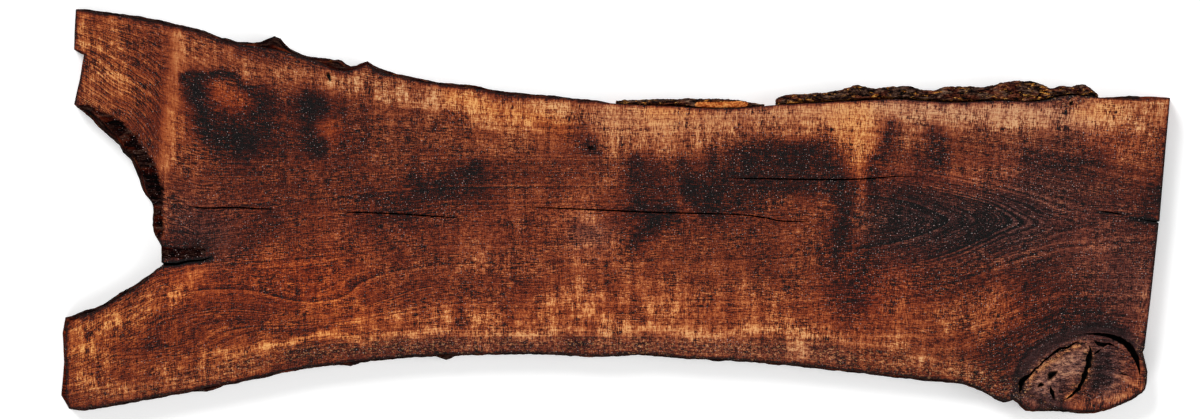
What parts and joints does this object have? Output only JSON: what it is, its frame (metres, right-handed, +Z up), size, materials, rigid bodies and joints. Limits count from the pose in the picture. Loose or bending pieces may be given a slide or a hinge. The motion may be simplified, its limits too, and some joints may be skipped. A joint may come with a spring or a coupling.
{
  "type": "live-edge wood slab",
  "caption": "Forked live-edge slab of dark oiled wood, sawn flat on both faces, with a bark-ringed knot, drying checks and bark lifting off one edge.",
  "frame": {"origin": "middle of the object's box at the underside, where the slab rests", "axes": "+X along the trunk, from the fork to the sawn end with the knot; +Y across the slab, towards the edge with the lifted bark; +Z up through the thickness"},
  "size_m": [1.7768, 0.6482, 0.05],
  "materials": {
    "wood": "oiled, rough sawn, satin",
    "bark": "rough bark, oiled"
  },
  "bodies": {
    "root": {"slab": "wood", "bark_strip_long": "bark", "bark_strip_short": "bark"}
  },
  "joints": []
}
